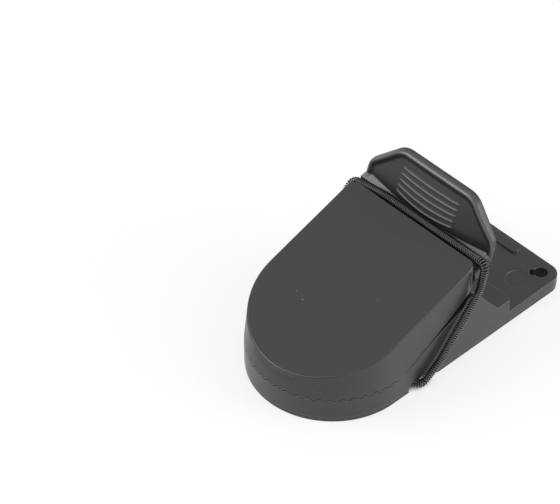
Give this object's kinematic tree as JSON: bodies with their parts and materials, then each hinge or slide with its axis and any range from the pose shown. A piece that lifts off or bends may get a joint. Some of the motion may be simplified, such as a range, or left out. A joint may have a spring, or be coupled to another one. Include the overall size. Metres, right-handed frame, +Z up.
{
  "type": "mouse trap",
  "caption": "Small jaw-style snap trap: flat base with a lower jaw, hinged toothed cover with a thumb tab, rocking bait trigger and a coil spring looped round both.",
  "frame": {"origin": "centre of the footprint, on the surface that the trap stands on", "axes": "+Z up; -Y towards the rounded jaw, +Y towards the square end of the plate; +X towards the nail hole's side"},
  "size_m": [0.0535, 0.0912, 0.0439],
  "materials": {
    "base_plastic": "moulded black polystyrene, fine satin",
    "cover_plastic": "moulded black polystyrene, fine spark texture on top",
    "trigger_plastic": "moulded black polystyrene",
    "spring_wire": "black oxide spring wire"
  },
  "bodies": {
    "base": {"base": "base_plastic", "spring": "spring_wire"},
    "cover": {"cover": "cover_plastic"},
    "trigger": {"trigger": "trigger_plastic"}
  },
  "joints": [
    {"name": "cover_hinge", "type": "hinge", "parent": "base", "child": "cover", "pos_m": [0, 0.0076, 0.0103], "axis": [-1, 0, 0], "range_deg": [0, 65], "stiffness_Nm_per_rad": 0.06, "springref_deg": -51.57, "deforming": ["spring"]},
    {"name": "trigger_rock", "type": "hinge", "parent": "base", "child": "trigger", "pos_m": [0, 0.02, 0.0065], "axis": [-1, 0, 0], "range_deg": [0, 8]}
  ]
}
